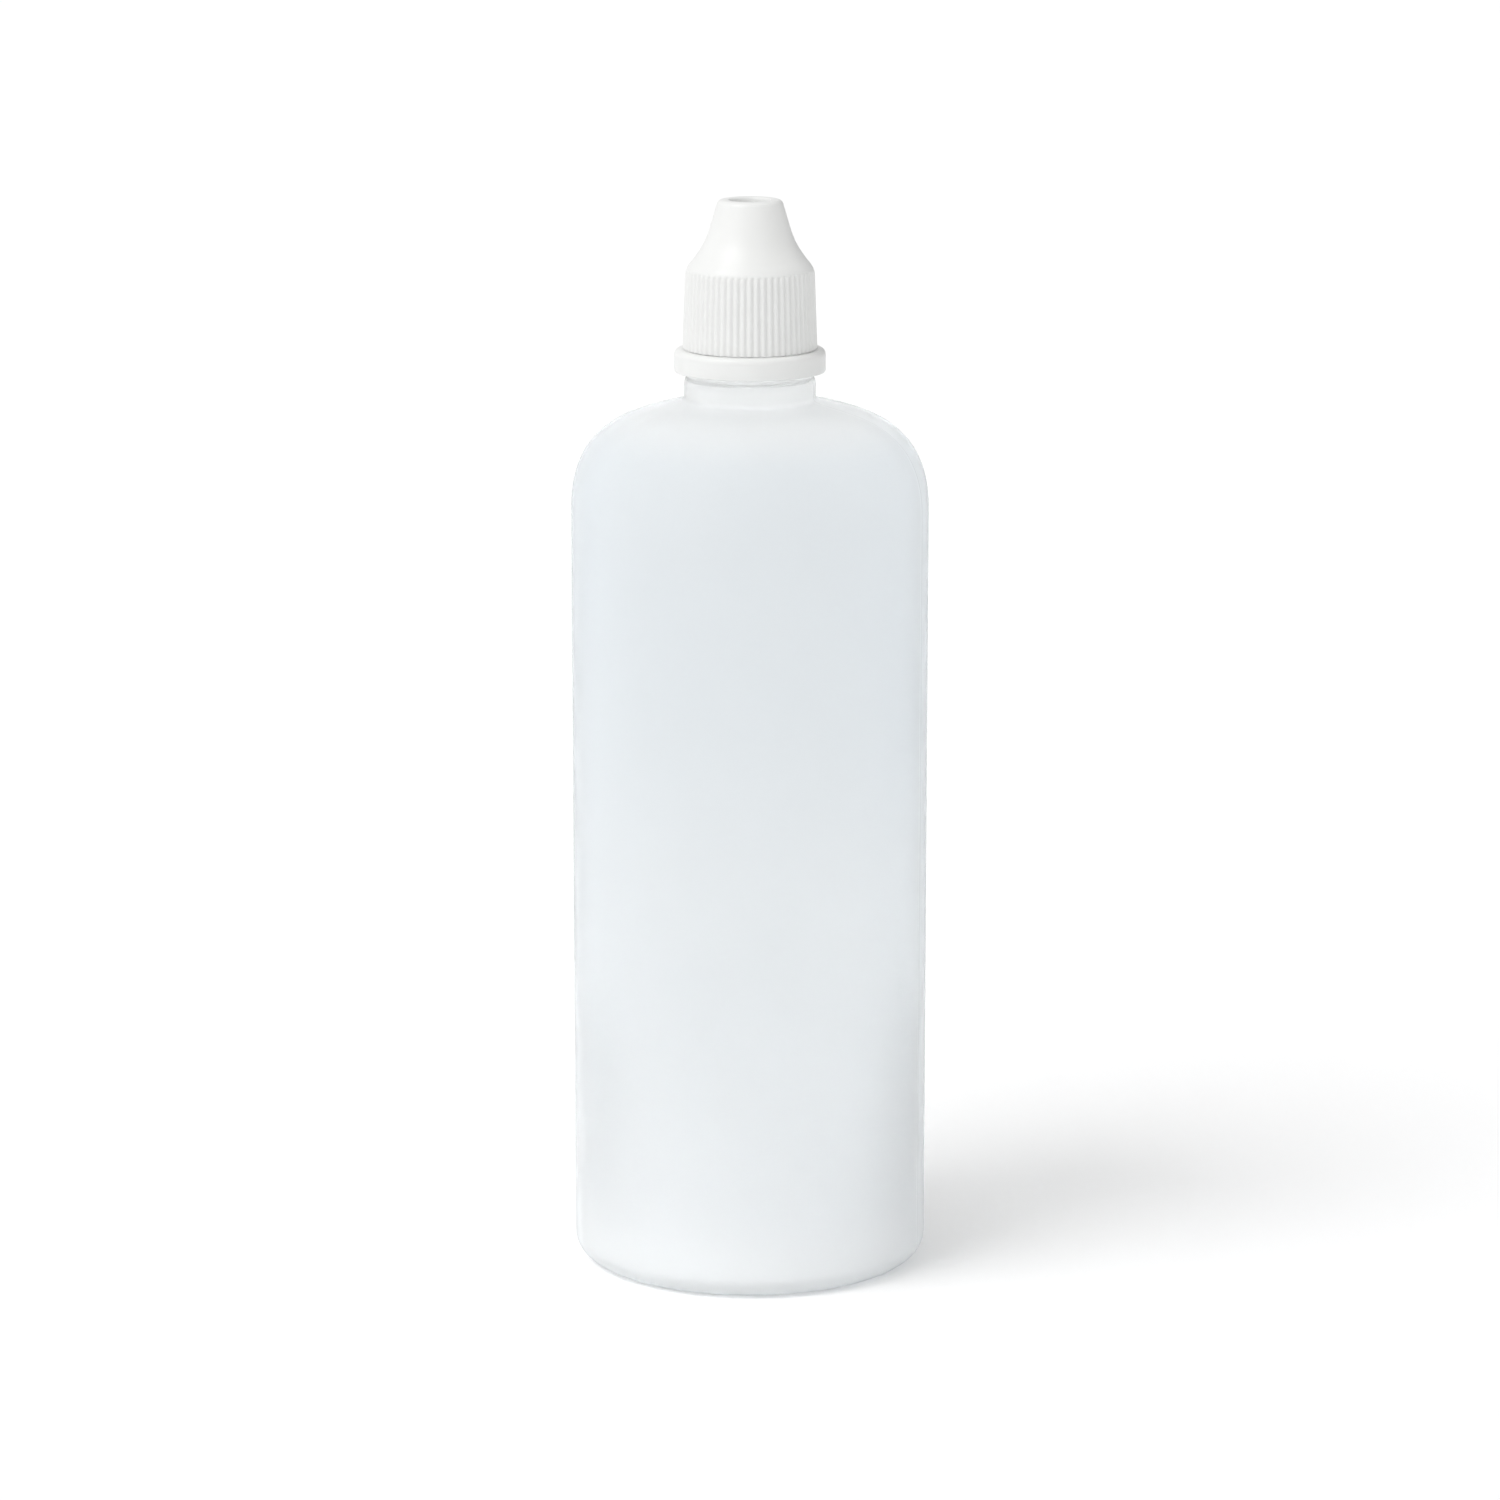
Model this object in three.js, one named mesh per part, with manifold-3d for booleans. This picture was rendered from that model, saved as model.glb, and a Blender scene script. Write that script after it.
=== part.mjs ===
// Squeeze dropper bottle, 250 ml: a blow-moulded flask, a press-in dropper nozzle,
// a ribbed screw cap, and the tamper-evident ring that stays on the neck.
// Millimetres, +Z up. The origin is on the axis, in the plane that the bottle stands on.
import * as THREE from "three";
import { mergeVertices } from "three/addons/utils/BufferGeometryUtils.js";
import Module from "manifold-3d";

const wasm = await Module();
wasm.setup();

// Flask body
const bodyRadius = 28;
const bodyWall = 1.3;
const floorWall = 1.5;
const wallTop = 121.2; // height where the straight wall starts to round in
const heelRadius = 3.3;
const standWidth = 3.2; // width of the flat ring that it stands on
const pushUp = 2.4; // how far the middle of the base is pushed up
const shoulderRise = 17.1; // from the top of the straight wall to the foot of the neck
const cornerPull = 14.7; // handle of the shoulder curve at the wall
const roofPull = 6.3; // handle of the shoulder curve at the neck
const roofSlope = THREE.MathUtils.degToRad(19);

// Neck
const collarReach = 2.07; // how far the collar stands out from the root of the thread
const collarHeight = 3.2;
const collarRound = 1.2;
const neckWall = 1.7;
const neckStep = 0.3; // the neck above the collar is this much slimmer
const beadReach = 0.55; // how far the retaining bead stands out from the neck
const beadHeight = 0.6;
const boreRadius = 6.5;
const finishWall = 1.7; // wall of the threaded length
const finishHeight = 8.7; // from the foot of the closed cap's skirt to the lip
const lipRound = 0.4;

// Screw thread, right-handed with one start
const threadLead = 3.2;
const threadDepth = 0.8;
const threadRootHeight = 1.5;
const threadCrestHeight = 0.7;
const threadGap = 0.2; // radial gap between each thread's crest and the wall it faces
const neckThreadTurns = 1.75;
const capThreadTurns = 1.5;
const capThreadStart = 0.35; // turns up the helix from the neck thread's lower end
const threadTopMargin = 1.0; // from the lip down to the middle of the thread's upper end
const threadRunOut = 20; // degrees over which each end of a thread fades out

// Dropper nozzle
const plugLength = 7.0;
const plugWall = 1.1;
const plugLead = 1.1; // length of the taper at the plug's lower end
const plugLeadDepth = 0.55;
const throatDepth = 1.0; // how far under the flange the plug's bore starts to narrow
const flangeThickness = 1.0;
const flangeMargin = 0.3; // the flange is this much smaller than the neck's root
const spoutBaseRadius = 5.4;
const spoutTipRadius = 1.9;
const spoutHeight = 9.2;
const spoutWall = 2.0;
const spoutFillet = 1.0; // where the spout meets the flange
const orificeRadius = 0.5;
const orificeLength = 2.4;
const drainRadius = 0.85; // the flared mouth of the orifice
const drainDepth = 0.9;

// Screw cap
const ribCount = 60;
const ribDepth = 0.32;
const ribWidth = 0.6;
const ribTopDrop = 0.4; // from the top of the skirt down to where the ribs stand full height
const ribTopRise = 1.2; // from the top of the skirt up to where the ribs die into the shoulder
const skirtWall = 0.58; // at the floor of the grooves, at the top of the skirt
const skirtDraft = 0.4; // how much wider the skirt is at its foot
const mouthChamfer = 0.45; // lead-in inside the skirt's foot
const capTopWall = 1.35; // from the sealing land up to the top of the skirt
const shoulderHeight = 2.4; // rounded shoulder above the skirt
const shoulderInset = 1.2; // how far the shoulder comes in
const shoulderLean = THREE.MathUtils.degToRad(51); // slope of the outline at the shoulder's top
const shoulderPull = 1.12; // handle of the shoulder's curve at its top
const skirtPull = 0.84; // handle of the shoulder's curve at the skirt
const sweepFoot = 0.42; // handle of the sweep over the shoulder, as a share of its height
const sweepTop = 0.5; // handle of the sweep under the taper, as a share of its height
const rimRadius = 5.15; // outside of the flat top
const rimRound = 0.6;
const taperHeight = 3.2; // length of the straight taper under the rim
const taperWidening = 0.95; // how much wider the taper is at its foot
const coneWall = 1.3;
const recessRadius = 3.1;
const recessDepth = 2.4;
const recessChamfer = 0.3;
const webThickness = 1.2;
const pinReach = 0.6; // how far the sealing pin goes into the orifice
const pinChamfer = 0.21;

// Tamper-evident ring
const ringHeight = 3.5;
const ringWall = 1.0;
const ringTopRound = 0.95;
const ringFootRound = 0.35;
const ringFlange = 0.8; // thickness of the ring's inward flange
const flangeReach = 0.28; // how far the flange reaches in past the skirt's outside
const clawCount = 8;
const clawHeight = 0.65;
const clawWidth = 3.4;
const clawBite = 0.3; // how far the claws reach in under the bead
const clawRise = 0.18; // from the ring's foot up to the claws' lower edge
const clawLead = 0.15; // how far that lower edge stands out of the bore
const clawEdge = 0.22; // height of the edge that catches the bead
const bridgeCount = 8;
const bridgeWidth = 0.8;
const bridgeDepth = 0.5;
const bridgeStub = 0.06; // height of a broken bridge's stub

// Clearances
const runningGap = 0.3; // between pieces that move past each other
const fitGap = 0.05; // between the nozzle and the neck that it is pressed into
const ringDrop = 1.2; // between the collar and the ring above it
const skirtGap = 0.1; // between the ring and the skirt that it was broken from
const tipGap = 0.6; // between the spout's tip and the cap's web
const pinGap = 0.08; // between the sealing pin and the orifice

// Heights that follow, from the bottom up
const neckBase = wallTop + shoulderRise;
const collarTop = neckBase + collarHeight;
const ringBottom = collarTop + ringDrop;
const ringTop = ringBottom + ringHeight;
const skirtBottom = ringTop + skirtGap;
const clawTop = ringBottom + clawHeight;
const beadBottom = clawTop + runningGap;
const beadTop = beadBottom + beadHeight;
const lipTop = skirtBottom + finishHeight;
const flangeBottom = lipTop + fitGap;
const flangeTop = flangeBottom + flangeThickness;
const landHeight = flangeTop + runningGap;
const skirtTop = landHeight + capTopWall;
const spoutTip = flangeTop + spoutHeight;
const webBottom = spoutTip + tipGap;
const recessFloor = webBottom + webThickness;
const capTop = recessFloor + recessDepth;
const taperTop = capTop - rimRound;
const taperFoot = taperTop - taperHeight;
const neckThreadFoot = lipTop - threadTopMargin - neckThreadTurns * threadLead;

// Radii that follow, from the axis out
const plugRadius = boreRadius - fitGap;
const rootRadius = boreRadius + finishWall;
const flangeRadius = rootRadius - flangeMargin;
const neckCrestRadius = rootRadius + threadDepth;
const capBoreRadius = neckCrestRadius + threadGap;
const capCrestRadius = rootRadius + threadGap;
const collarRadius = rootRadius + collarReach;
const neckRadius = collarRadius - neckStep;
const beadRadius = neckRadius + beadReach;
const ringBoreRadius = beadRadius + runningGap;
const ringRadius = ringBoreRadius + ringWall;
const grooveRadius = capBoreRadius + skirtWall;
const skirtRadius = grooveRadius + ribDepth;
const shoulderRadius = skirtRadius - shoulderInset;
const taperFootRadius = rimRadius + taperWidening;
const pinRadius = orificeRadius - pinGap;
const flangeBoreRadius = skirtRadius - flangeReach;

// How finely the shapes are cut
const bodySegments = 48;
const nozzleSegments = 36;
const threadStepsPerTurn = 24;
const outsideSteps = 6; // in each curve of the flask's outside
const insideSteps = 5; // in each curve of the flask's inside
const smallSteps = 4; // in each curve of the smaller pieces
const mergeDistance = 1e-4;
const threadSink = 0.3; // how deep a thread's section is set into its wall
const threadEndScale = 0.15; // share of its size that a thread's section keeps at its ends

// A closed geometry as a solid that can be joined and cut.
function solidFrom(geometry) {
  const bare = geometry.clone();
  bare.deleteAttribute("normal");
  bare.deleteAttribute("uv");
  const merged = mergeVertices(bare, mergeDistance);
  return new wasm.Manifold(
    new wasm.Mesh({
      numProp: 3,
      vertProperties: new Float32Array(merged.attributes.position.array),
      triVerts: new Uint32Array(merged.index.array),
    }),
  );
}

// Turns an outline of (radius, height) points about the Z axis.
function turned(points, segments) {
  const geometry = new THREE.LatheGeometry(points, segments);
  geometry.rotateX(Math.PI / 2);
  return solidFrom(geometry);
}

function joined(solids) {
  return solids.reduce((whole, piece) => whole.add(piece));
}

// Copies a geometry evenly round the Z axis.
function ringOf(geometry, count) {
  const copies = [];
  for (let i = 0; i < count; i += 1) {
    const copy = geometry.clone();
    copy.rotateZ((i * 2 * Math.PI) / count);
    copies.push(solidFrom(copy));
  }
  return copies;
}

function meshOf(name, solid, material) {
  const cut = solid.getMesh();
  const geometry = new THREE.BufferGeometry();
  geometry.setAttribute("position", new THREE.BufferAttribute(cut.vertProperties, 3));
  geometry.setIndex(new THREE.BufferAttribute(cut.triVerts, 1));
  geometry.computeVertexNormals();
  const mesh = new THREE.Mesh(geometry, material);
  mesh.name = name;
  return mesh;
}

// A thread's ridge: a trapezoid drawn out straight, then wound round the axis on a helix.
// wallRadius is the wall it stands on and crestRadius its crest, either side of the wall.
// The helix passes through helixFoot at angle 0, and the ridge runs on it from startTurn.
function threadRidge(wallRadius, crestRadius, turns, helixFoot, startTurn) {
  const outward = Math.sign(crestRadius - wallRadius);
  const flank = (threadRootHeight - threadCrestHeight) / 2 / Math.abs(crestRadius - wallRadius);
  const sunk = wallRadius - outward * threadSink;
  const sunkHalf = outward * (threadRootHeight / 2 + flank * threadSink);
  const crestHalf = (outward * threadCrestHeight) / 2;
  const section = new THREE.Shape();
  section.moveTo(sunk, -sunkHalf);
  section.lineTo(crestRadius, -crestHalf);
  section.lineTo(crestRadius, crestHalf);
  section.lineTo(sunk, sunkHalf);
  const steps = Math.round(turns * threadStepsPerTurn);
  const ridge = new THREE.ExtrudeGeometry(section, {
    depth: turns,
    steps,
    bevelEnabled: false,
  });
  const runOut = threadRunOut / 360;
  const position = ridge.attributes.position;
  for (let i = 0; i < position.count; i += 1) {
    const turn = turns - position.getZ(i); // run backwards, so that the faces stay outward
    const fade = Math.min(1, turn / runOut, (turns - turn) / runOut);
    const proud = (position.getX(i) - sunk) * Math.max(fade, threadEndScale);
    const radius = sunk + proud;
    const height = helixFoot + (startTurn + turn) * threadLead + position.getY(i);
    const angle = (startTurn + turn) * 2 * Math.PI;
    position.setXYZ(i, radius * Math.cos(angle), radius * Math.sin(angle), height);
  }
  return solidFrom(ridge);
}

// Outline of the flask: outside from the middle of the base up to the lip, then back inside.
function bottleOutline() {
  const standOuter = bodyRadius - heelRadius;
  const standInner = standOuter - standWidth;
  const tan = Math.tan(roofSlope);
  const cos = Math.cos(roofSlope);
  const sin = Math.sin(roofSlope);

  const outside = new THREE.Path();
  outside.moveTo(0, pushUp);
  outside.bezierCurveTo(standInner / 2, pushUp, standInner - heelRadius, pushUp / 2, standInner, 0);
  outside.lineTo(standOuter, 0);
  outside.absarc(standOuter, heelRadius, heelRadius, -Math.PI / 2, 0, false);
  outside.lineTo(bodyRadius, wallTop);
  outside.bezierCurveTo(
    bodyRadius,
    wallTop + cornerPull,
    collarRadius + roofPull * cos,
    neckBase - roofPull * sin,
    collarRadius,
    neckBase,
  );
  outside.lineTo(collarRadius, collarTop - collarRound);
  outside.lineTo(neckRadius, collarTop);
  outside.lineTo(neckRadius, beadBottom);
  outside.lineTo(beadRadius, beadBottom);
  outside.lineTo(beadRadius, beadTop);
  outside.lineTo(flangeBoreRadius, ringTop - ringFlange - runningGap);
  outside.lineTo(rootRadius, skirtBottom);
  outside.lineTo(rootRadius, lipTop - lipRound);
  outside.lineTo(rootRadius - lipRound, lipTop);
  outside.lineTo(boreRadius, lipTop);

  const neckInside = collarRadius - neckWall;
  const neckInsideFoot = neckBase + neckWall * tan - bodyWall / cos;
  const wallInside = bodyRadius - bodyWall;
  const heelInside = heelRadius - bodyWall;
  const innerPull = cornerPull - bodyWall;
  const inside = new THREE.Path();
  inside.moveTo(boreRadius, lipTop);
  inside.lineTo(boreRadius, skirtBottom);
  inside.quadraticCurveTo(neckInside, beadTop, neckInside, clawTop);
  inside.lineTo(neckInside, neckInsideFoot);
  inside.bezierCurveTo(
    neckInside + roofPull * cos,
    neckInsideFoot - roofPull * sin,
    wallInside,
    wallTop + innerPull,
    wallInside,
    wallTop,
  );
  inside.lineTo(wallInside, floorWall + heelInside);
  inside.absarc(standOuter, floorWall + heelInside, heelInside, 0, -Math.PI / 2, true);
  inside.lineTo(standInner, floorWall);
  inside.bezierCurveTo(
    standInner - heelRadius,
    floorWall + pushUp / 2,
    standInner / 2,
    floorWall + pushUp,
    0,
    floorWall + pushUp,
  );
  return outside.getPoints(outsideSteps).concat(inside.getPoints(insideSteps).slice(1));
}

function makeBottle() {
  const flask = turned(bottleOutline(), bodySegments);
  const thread = threadRidge(rootRadius, neckCrestRadius, neckThreadTurns, neckThreadFoot, 0);
  return flask.add(thread);
}

// The nozzle is open right through: a plug in the bore, a flange on the lip and a spout.
function nozzleOutline() {
  const plugBottom = lipTop - plugLength;
  const plugBore = plugRadius - plugWall;
  const tipRound = (spoutTipRadius - drainRadius) / 2;
  const path = new THREE.Path();
  path.moveTo(plugBore, plugBottom);
  path.lineTo(plugRadius - plugLeadDepth, plugBottom);
  path.lineTo(plugRadius, plugBottom + plugLead);
  path.lineTo(plugRadius, flangeBottom);
  path.lineTo(flangeRadius, flangeBottom);
  path.lineTo(flangeRadius, flangeTop);
  path.lineTo(spoutBaseRadius + spoutFillet, flangeTop);
  path.quadraticCurveTo(
    spoutBaseRadius,
    flangeTop,
    spoutBaseRadius - spoutFillet / 2,
    flangeTop + spoutFillet,
  );
  path.lineTo(spoutTipRadius, spoutTip - tipRound);
  path.quadraticCurveTo(spoutTipRadius, spoutTip, spoutTipRadius - tipRound, spoutTip);
  path.lineTo(drainRadius, spoutTip);
  path.lineTo(orificeRadius, spoutTip - drainDepth);
  path.lineTo(orificeRadius, spoutTip - orificeLength);
  path.lineTo(spoutBaseRadius - spoutWall, flangeTop);
  path.lineTo(plugBore, flangeBottom - throatDepth);
  path.lineTo(plugBore, plugBottom);
  return path.getPoints(smallSteps);
}

function makeNozzle() {
  return turned(nozzleOutline(), nozzleSegments);
}

// The outside of the cap, from the edge of its flat top down to the foot of its skirt.
// inset brings the skirt in towards the axis, by a groove's depth.
function capOutside(inset) {
  const shoulderTop = skirtTop + shoulderHeight;
  const sweep = taperFoot - shoulderTop;
  const slope = taperWidening / taperHeight;
  const leanCos = Math.cos(shoulderLean);
  const leanSin = Math.sin(shoulderLean);
  const path = new THREE.Path();
  path.moveTo(rimRadius - rimRound, capTop);
  path.quadraticCurveTo(rimRadius - rimRound * slope, capTop, rimRadius, taperTop);
  path.lineTo(taperFootRadius, taperFoot);
  path.bezierCurveTo(
    taperFootRadius + slope * sweep * sweepTop,
    taperFoot - sweep * sweepTop,
    shoulderRadius - sweep * sweepFoot * leanCos,
    shoulderTop + sweep * sweepFoot * leanSin,
    shoulderRadius,
    shoulderTop,
  );
  path.bezierCurveTo(
    shoulderRadius + shoulderPull * leanCos,
    shoulderTop - shoulderPull * leanSin,
    skirtRadius - inset,
    skirtTop + skirtPull,
    skirtRadius - inset,
    skirtTop,
  );
  path.lineTo(skirtRadius + skirtDraft - inset, skirtBottom);
  return path;
}

// Outline of the cap: from the recess in its top, down the outside, then up inside to the pin.
function capOutline() {
  const recess = new THREE.Path();
  recess.moveTo(0, recessFloor);
  recess.lineTo(recessRadius, recessFloor);
  recess.lineTo(recessRadius, capTop - recessChamfer);
  recess.lineTo(recessRadius + recessChamfer, capTop);

  const pinFoot = spoutTip - pinReach;
  const inside = new THREE.Path();
  inside.moveTo(capBoreRadius + mouthChamfer, skirtBottom);
  inside.lineTo(capBoreRadius, skirtBottom + mouthChamfer);
  inside.lineTo(capBoreRadius, landHeight);
  inside.lineTo(shoulderRadius - coneWall, landHeight);
  inside.lineTo(shoulderRadius - coneWall, skirtTop);
  inside.lineTo(taperFootRadius - coneWall, taperFoot - coneWall);
  inside.lineTo(rimRadius - coneWall, webBottom);
  inside.lineTo(pinRadius, webBottom);
  inside.lineTo(pinRadius, pinFoot + pinChamfer);
  inside.lineTo(pinRadius - pinChamfer, pinFoot);
  inside.lineTo(0, pinFoot);

  const outside = capOutside(ribDepth).getPoints(smallSteps);
  return recess.getPoints().concat(outside, inside.getPoints()).reverse();
}

// One grip rib, drawn in side view and given its width: its crest follows the cap's outline.
function gripRib() {
  const side = new THREE.Shape();
  const sunk = grooveRadius - ribDepth;
  side.moveTo(sunk, skirtBottom);
  side.lineTo(skirtRadius + skirtDraft, skirtBottom);
  side.lineTo(skirtRadius, skirtTop - ribTopDrop);
  side.lineTo(sunk, skirtTop + ribTopRise);
  const rib = new THREE.ExtrudeGeometry(side, { depth: ribWidth, bevelEnabled: false });
  rib.translate(0, 0, -ribWidth / 2);
  rib.rotateX(Math.PI / 2);
  return rib;
}

function makeCap() {
  const shell = turned(capOutline(), ribCount);
  const ribs = joined(ringOf(gripRib(), ribCount));
  const underNeckThread = neckThreadFoot - (threadRootHeight + threadCrestHeight) / 2 - runningGap;
  const thread = threadRidge(
    capBoreRadius,
    capCrestRadius,
    capThreadTurns,
    underNeckThread,
    capThreadStart,
  );
  return joined([shell, ribs, thread]);
}

// Outline of the ring: an inward flange over the bead, and a wall that hangs down outside it.
function ringOutline() {
  const path = new THREE.Path();
  path.moveTo(ringBoreRadius, ringBottom);
  path.lineTo(ringRadius - ringFootRound, ringBottom);
  path.lineTo(ringRadius, ringBottom + ringFootRound);
  path.lineTo(ringRadius, ringTop - ringTopRound);
  path.quadraticCurveTo(ringRadius, ringTop, ringRadius - ringTopRound, ringTop);
  path.lineTo(flangeBoreRadius, ringTop);
  path.lineTo(flangeBoreRadius, ringTop - ringFlange);
  path.lineTo(ringBoreRadius, ringTop - ringFlange);
  path.lineTo(ringBoreRadius, ringBottom);
  return path.getPoints(smallSteps);
}

// One claw: a wedge inside the ring's foot, that catches under the bead.
function ringClaw() {
  const reach = beadRadius - clawBite;
  const root = ringBoreRadius + ringWall / 2;
  const side = new THREE.Shape();
  side.moveTo(root, ringBottom + ringFootRound);
  side.lineTo(ringBoreRadius - clawLead, ringBottom + clawRise);
  side.lineTo(reach, clawTop - clawEdge);
  side.lineTo(reach, clawTop);
  side.lineTo(root, clawTop);
  const claw = new THREE.ExtrudeGeometry(side, { depth: clawWidth, bevelEnabled: false });
  claw.translate(0, 0, -clawWidth / 2);
  claw.rotateX(Math.PI / 2);
  return claw;
}

// One stub of a broken bridge, at the inner edge of the ring's flange, under the skirt's foot.
function bridgeStubBlock() {
  const stub = new THREE.BoxGeometry(bridgeDepth, bridgeWidth, bridgeStub * 2);
  stub.translate(flangeBoreRadius + bridgeDepth / 2, 0, ringTop);
  stub.rotateZ(Math.PI / bridgeCount);
  return stub;
}

function makeRing() {
  const band = turned(ringOutline(), bodySegments);
  const claws = ringOf(ringClaw(), clawCount);
  const stubs = ringOf(bridgeStubBlock(), bridgeCount);
  return joined([band, ...claws, ...stubs]);
}

const flaskPlastic = new THREE.MeshStandardMaterial({
  color: 0xe3e8ea,
  roughness: 0.42,
  metalness: 0,
});
const nozzlePlastic = new THREE.MeshStandardMaterial({
  color: 0xe9edee,
  roughness: 0.38,
  metalness: 0,
});
const capPlastic = new THREE.MeshStandardMaterial({
  color: 0xf4f5f4,
  roughness: 0.3,
  metalness: 0,
});

const dropperBottle = new THREE.Group();
dropperBottle.add(
  meshOf("bottle", makeBottle(), flaskPlastic),
  meshOf("dropper_nozzle", makeNozzle(), nozzlePlastic),
  meshOf("screw_cap", makeCap(), capPlastic),
  meshOf("tamper_ring", makeRing(), capPlastic),
);

export default dropperBottle;
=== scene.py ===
import bpy
import numpy as np
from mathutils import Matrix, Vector


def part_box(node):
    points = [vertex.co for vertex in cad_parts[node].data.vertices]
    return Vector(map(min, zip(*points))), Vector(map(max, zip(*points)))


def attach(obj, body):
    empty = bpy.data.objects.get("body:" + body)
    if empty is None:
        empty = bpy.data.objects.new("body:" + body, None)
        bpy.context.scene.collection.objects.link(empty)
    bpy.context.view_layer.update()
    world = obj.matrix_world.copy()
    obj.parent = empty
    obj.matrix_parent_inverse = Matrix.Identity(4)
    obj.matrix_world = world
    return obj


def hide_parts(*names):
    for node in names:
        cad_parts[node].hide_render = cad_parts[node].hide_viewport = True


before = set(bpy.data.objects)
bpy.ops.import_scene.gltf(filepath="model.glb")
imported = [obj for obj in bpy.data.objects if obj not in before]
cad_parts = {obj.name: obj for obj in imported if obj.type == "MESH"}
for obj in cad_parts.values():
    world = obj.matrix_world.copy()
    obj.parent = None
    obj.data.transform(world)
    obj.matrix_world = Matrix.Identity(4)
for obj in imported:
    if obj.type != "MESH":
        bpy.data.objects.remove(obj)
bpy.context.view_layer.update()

mm = 0.001
print("frame loaded:", sorted(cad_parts))


# straight line: start + t * (end - start)
def line(start, end, count):
    t = np.linspace(0, 1, count)[:, None]
    return np.array(start) + t * (np.array(end) - np.array(start))


# cubic Bezier: the four points weighted by (1-t)^3, 3t(1-t)^2, 3t^2(1-t), t^3
def bezier(a, b, c, d, count):
    t = np.linspace(0, 1, count)[:, None]
    a, b, c, d = map(np.array, (a, b, c, d))
    return a * (1 - t) ** 3 + 3 * b * t * (1 - t) ** 2 + 3 * c * t**2 * (1 - t) + d * t**3


# circle arc: centre + radius * (cos, sin) of an angle that runs from first to last, in degrees
def arc(centre, radius, first, last, count):
    angle = np.radians(np.linspace(first, last, count))[:, None]
    return np.array(centre) + radius * np.hstack([np.cos(angle), np.sin(angle)])


# corners as (radius, height, fillet): each corner is rounded by a quadratic curve whose
# ends lie one fillet length before and after it, and straight runs are cut every step
def filleted(corners, step, perFillet=6):
    points = np.array([c[:2] for c in corners], float)
    parts = [points[:1]]
    for i in range(1, len(corners)):
        here = points[i]
        size = corners[i][2] if i < len(corners) - 1 else 0
        before = here - points[i - 1]
        length = np.linalg.norm(before)
        arrive = here - before / length * size
        run = np.linalg.norm(arrive - parts[-1][-1])
        parts.append(line(parts[-1][-1], arrive, max(2, int(run / step) + 1))[1:])
        if size > 0:
            after = points[i + 1] - here
            leave = here + after / np.linalg.norm(after) * size
            t = np.linspace(0, 1, perFillet)[1:, None]
            parts.append(arrive * (1 - t) ** 2 + 2 * here * t * (1 - t) + leave * t**2)
    return np.vstack(parts)


# joins curves end to end and drops points that repeat
def joined(*curves):
    path = np.vstack(curves)
    keep = np.r_[True, np.linalg.norm(np.diff(path, axis=0), axis=1) > 1e-7]
    return path[keep]


# s-shaped step from 0 at low to 1 at high: 3t^2 - 2t^3
def smoothStep(low, high, value):
    t = np.clip((value - low) / (high - low), 0, 1)
    return t * t * (3 - 2 * t)


# surface of revolution as a grid: x = r cos(angle), y = r sin(angle), z = h,
# with r and h given for every (row, angle)
def turned(radius, height, angle):
    return np.stack([radius * np.cos(angle), radius * np.sin(angle), height + 0 * angle], -1)


# puts a grid of points [row, column] into a mesh: columns close round the axis, rows close on
# themselves if asked, and a row at radius 0 becomes one pole with a fan of triangles
def gridPiece(name, points, closeRows=False, poleStart=False, poleEnd=False):
    rows, columns = points.shape[:2]
    first = 1 if poleStart else 0
    last = rows - 1 if poleEnd else rows
    body = points[first:last]
    count = len(body)
    index = np.arange(count * columns).reshape(count, columns)
    lower = index if closeRows else index[:-1]
    upper = np.roll(index, -1, axis=0) if closeRows else index[1:]
    quads = np.stack([lower, np.roll(lower, -1, 1), np.roll(upper, -1, 1), upper], -1)
    quads = quads.reshape(-1, 4)
    vertices = [body.reshape(-1, 3)]
    faces = quads.tolist()
    if poleStart:
        pole = count * columns
        vertices.append(points[:1, 0])
        ring = index[0]
        faces += np.stack([np.full(columns, pole), np.roll(ring, -1), ring], -1).tolist()
    if poleEnd:
        pole = count * columns + first
        vertices.append(points[-1:, 0])
        ring = index[-1]
        faces += np.stack([np.full(columns, pole), ring, np.roll(ring, -1)], -1).tolist()
    mesh = bpy.data.meshes.new(name)
    mesh.from_pydata(np.vstack(vertices).tolist(), [], faces)
    mesh.polygons.foreach_set("use_smooth", np.ones(len(faces), bool))
    mesh.update()
    piece = bpy.data.objects.new(name, mesh)
    bpy.context.scene.collection.objects.link(piece)
    return piece


# height of a thread's ridge over its wall at every (height, angle), from 0 to 1: the distance
# from the nearest turn of the helix z = foot + lead * turns, cut to a trapezoid with soft
# shoulders, and faded out over a part of a turn at both ends
def threadRidge(height, angle, thread, foot, turns, start):
    turned = np.mod(angle, 2 * np.pi) / (2 * np.pi)
    nearest = np.round((height - foot) / thread["lead"] - turned)
    along = nearest + turned - start
    away = np.abs(height - foot - (nearest + turned) * thread["lead"])
    ridge = smoothStep(thread["rootHalf"], thread["crestHalf"], away)
    fade = smoothStep(0, thread["fade"], along) * smoothStep(turns, turns - thread["fade"], along)
    return ridge * fade


def finish(piece, material, body, node):
    piece.data.materials.append(material)
    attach(piece, body)
    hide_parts(node)
    print("made", piece.name, len(piece.data.polygons), "faces")
    return piece


# one node with its plain settings
def addNode(tree, kind, **settings):
    node = tree.nodes.new(kind)
    for key, value in settings.items():
        setattr(node, key, value)
    return node


def newMaterial(name):
    material = bpy.data.materials.new(name)
    material.use_nodes = True
    tree = material.node_tree
    return material, tree, tree.nodes["Principled BSDF"]


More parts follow.
